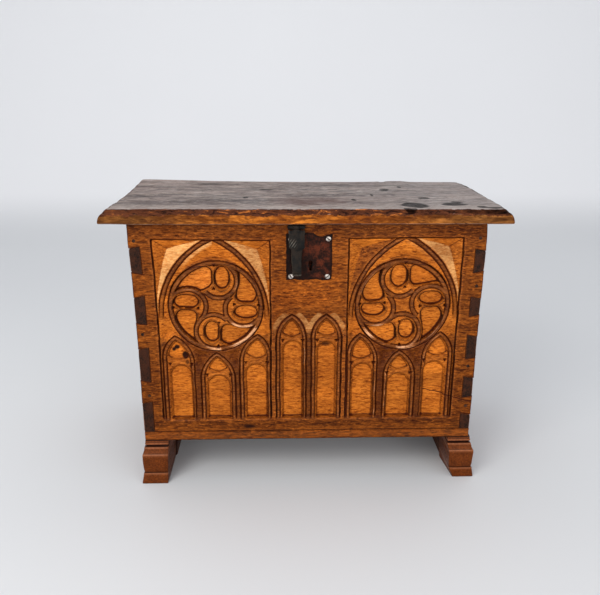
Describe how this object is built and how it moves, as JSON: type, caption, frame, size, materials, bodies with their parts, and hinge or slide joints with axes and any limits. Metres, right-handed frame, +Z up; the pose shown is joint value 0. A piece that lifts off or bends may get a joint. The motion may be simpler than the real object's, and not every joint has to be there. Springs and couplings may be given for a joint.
{
  "type": "church donation box",
  "caption": "Small oak church coffer for donations: carved tracery front, dovetailed corners, hinged plank lid, runner feet, iron hasp and lock.",
  "frame": {"origin": "on the floor, at the middle of the whole footprint in X and Y", "axes": "+Z up, -Y towards the carved front, +X to the right as seen from the front"},
  "size_m": [0.5468, 0.3053, 0.4035],
  "materials": {
    "oak_carved": "waxed, dark in the carved grooves",
    "oak_board": "waxed, worn",
    "oak_base": "waxed",
    "oak_foot": "satin, stained reddish brown",
    "oak_lid": "dry and greyed on top, orange at the front edge",
    "nail_iron": "dark, rusted",
    "hinge_iron": "dark forged iron",
    "hasp_iron": "dark forged iron, rubbed on the edges",
    "plate_iron": "rusted red-brown",
    "lock_steel": "dull, oiled",
    "screw_steel": "bright slotted heads"
  },
  "bodies": {
    "carcase": {"front_board": "oak_carved", "back_board": "oak_board", "left_side_board": "oak_board", "right_side_board": "oak_board", "bottom_board": "oak_base", "left_foot": "oak_foot", "right_foot": "oak_foot", "front_corner_nails": "nail_iron", "back_corner_nails": "nail_iron", "bottom_nails": "nail_iron", "foot_nails": "nail_iron", "left_hinge_body_leaf": "hinge_iron", "right_hinge_body_leaf": "hinge_iron", "left_hinge_pin": "hinge_iron", "right_hinge_pin": "hinge_iron", "hinge_body_nails": "nail_iron", "lock_plate": "plate_iron", "lock_plate_screws": "screw_steel", "lock_case": "plate_iron", "lock_case_rivets": "plate_iron", "bolt_guides": "plate_iron", "bolt_spring": "lock_steel", "lock_ward": "plate_iron"},
    "lid": {"lid_board": "oak_lid", "left_hinge_lid_leaf": "hinge_iron", "right_hinge_lid_leaf": "hinge_iron", "hinge_lid_nails": "nail_iron", "hasp_hinge_leaf": "hasp_iron", "hasp_leaf_nails": "nail_iron", "hasp_pin": "hasp_iron"},
    "hasp": {"hasp_strap": "hasp_iron", "hasp_staple": "hasp_iron"},
    "bolt": {"lock_bolt": "lock_steel"}
  },
  "joints": [
    {"name": "lid_hinge", "type": "hinge", "parent": "carcase", "child": "lid", "pos_m": [0.003, 0.1491, 0.3845], "axis": [-1, 0, 0], "range_deg": [0, 105]},
    {"name": "hasp_swing", "type": "hinge", "parent": "lid", "child": "hasp", "pos_m": [-0.015, -0.1329, 0.38], "axis": [-1, 0, 0], "range_deg": [-12, 105]},
    {"name": "bolt_slide", "type": "slide", "parent": "carcase", "child": "bolt", "axis": [-1, 0, 0], "range_m": [0, 0.009]}
  ]
}
